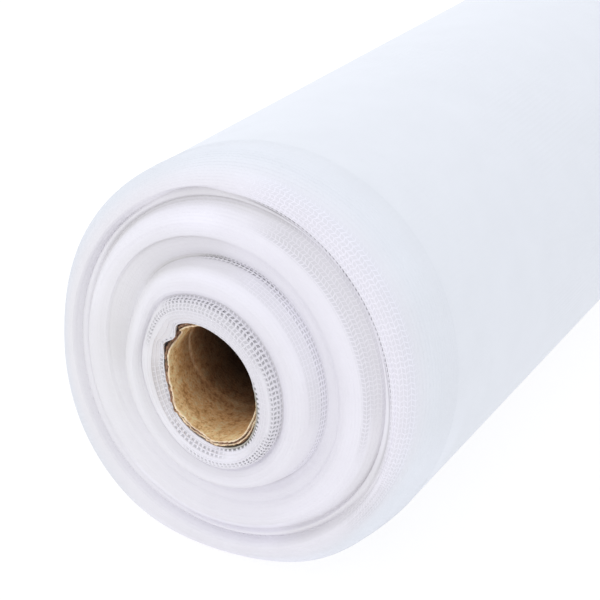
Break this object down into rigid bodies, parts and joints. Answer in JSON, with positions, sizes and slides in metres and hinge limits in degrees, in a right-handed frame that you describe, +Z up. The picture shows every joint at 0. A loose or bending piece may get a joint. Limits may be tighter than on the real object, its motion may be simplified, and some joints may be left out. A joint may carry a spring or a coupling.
{
  "type": "roll of insect netting",
  "caption": "Fine white insect netting wound on a cardboard core, lying on its side, its near end standing out in soft stages.",
  "frame": {"origin": "on the floor under the middle of the roll", "axes": "+Y along the roll away from its proud end, +Z up"},
  "size_m": [0.12, 0.6144, 0.1193],
  "materials": {
    "netting": "fine open weave of white plastic thread, soft sheen",
    "cardboard": "matte brown paper tube, torn at the rim"
  },
  "bodies": {
    "root": {"netting": "netting", "core": "cardboard"}
  },
  "joints": []
}
